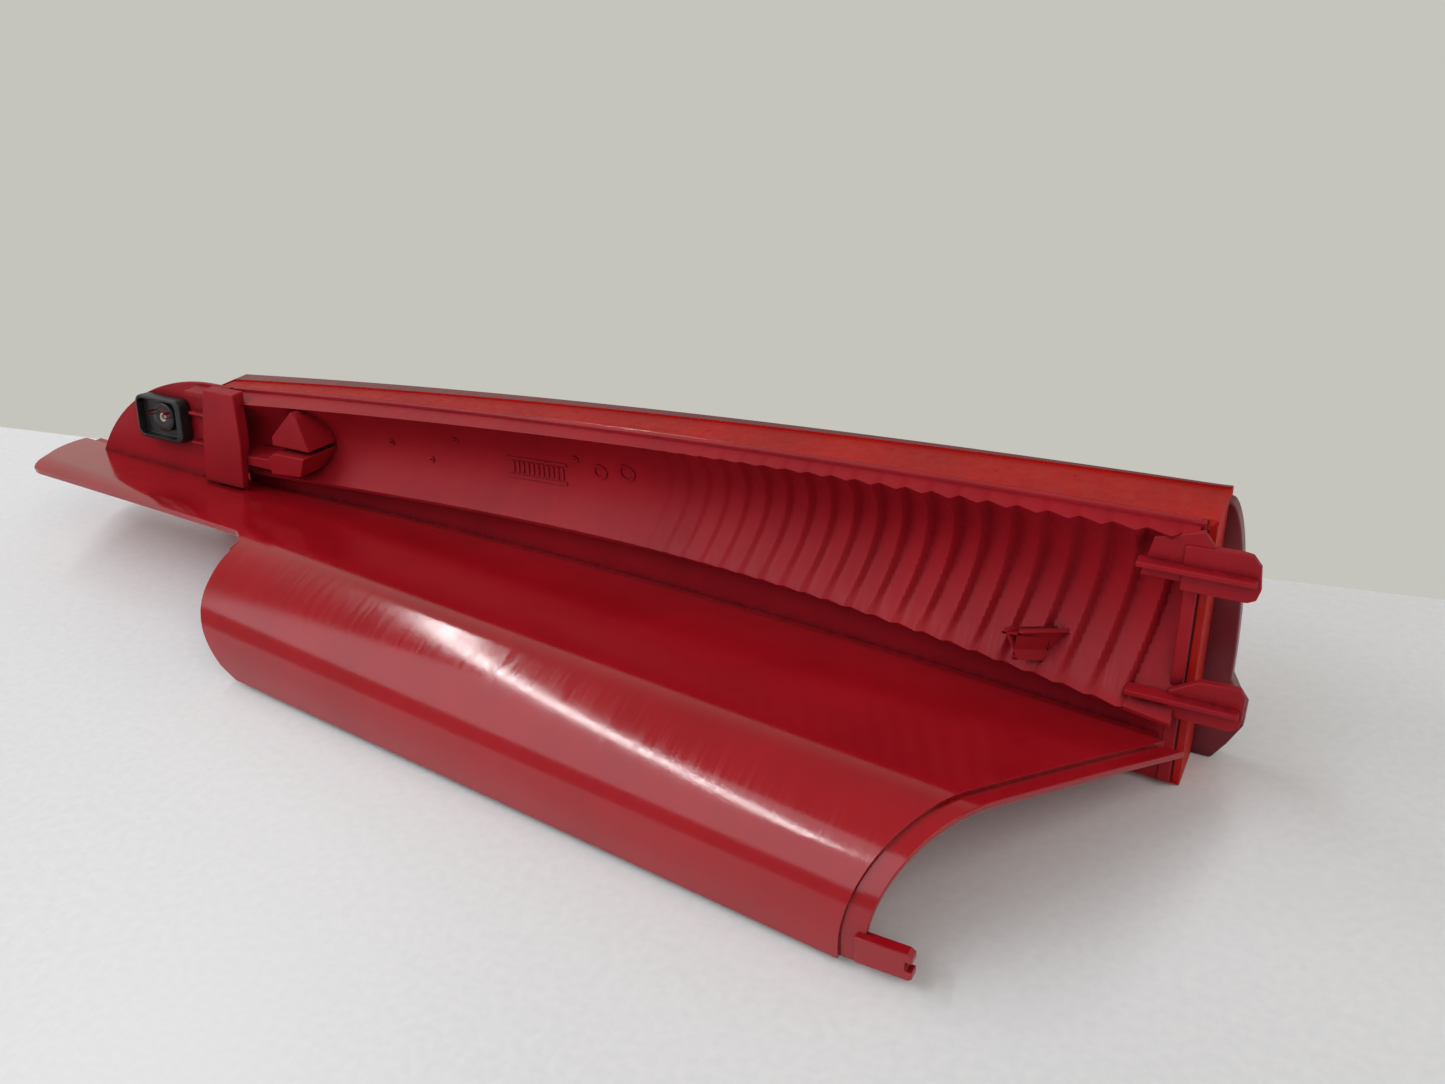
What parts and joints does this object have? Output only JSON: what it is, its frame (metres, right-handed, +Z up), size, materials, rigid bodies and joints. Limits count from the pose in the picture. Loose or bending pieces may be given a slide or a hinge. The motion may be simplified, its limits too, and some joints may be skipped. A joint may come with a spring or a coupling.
{
  "type": "vehicle rear lamp with trim panel",
  "caption": "Long tapered red rear lamp with a reeded housing back, joined along a crease to a moulded trim panel that curls down, with a clip and locating tabs at its ends.",
  "frame": {"origin": "middle of the overall box, at the level of the surface that it lies on", "axes": "+X along the lamp towards its taller end, +Y out through the lens, +Z up from the lens's lower edge to its top edge"},
  "size_m": [0.519, 0.143, 0.0927],
  "materials": {
    "red_abs": "semi-gloss moulded ABS, mass coloured red",
    "red_lens": "glossy translucent red acrylic",
    "black_nylon": "satin black nylon",
    "seal_rubber": "matt black rubber",
    "foam": "dark closed-cell foam",
    "reflector_white": "bright moulded plastic",
    "diffuser_opal": "opal acrylic",
    "board_green": "green solder resist on glass epoxy",
    "led_package": "pale LED package",
    "chip_black": "black moulded chip",
    "screw_steel": "zinc plated steel",
    "wire_pvc": "PVC insulation",
    "terminal_brass": "stamped brass",
    "membrane_white": "white vent membrane",
    "bush_pale": "natural nylon"
  },
  "bodies": {
    "lamp": {"rear_housing": "red_abs", "trim_panel": "red_abs", "outer_lens": "red_lens", "lens_seal": "seal_rubber", "reflector": "reflector_white", "diffuser": "diffuser_opal", "led_board": "board_green", "leds": "led_package", "resistors": "chip_black", "polarity_diode": "chip_black", "board_screws": "screw_steel", "lead_wires": "wire_pvc", "connector_socket": "black_nylon", "socket_seal": "seal_rubber", "connector_terminals": "terminal_brass", "vent_plug": "black_nylon", "vent_membrane": "membrane_white", "foam_pad": "foam"},
    "clip": {"retaining_clip": "black_nylon", "stud_bush": "bush_pale"}
  },
  "joints": [
    {"name": "clip_float", "type": "slide", "parent": "lamp", "child": "clip", "axis": [1, 0, 0], "range_m": [-0.0012, 0.0012]}
  ]
}
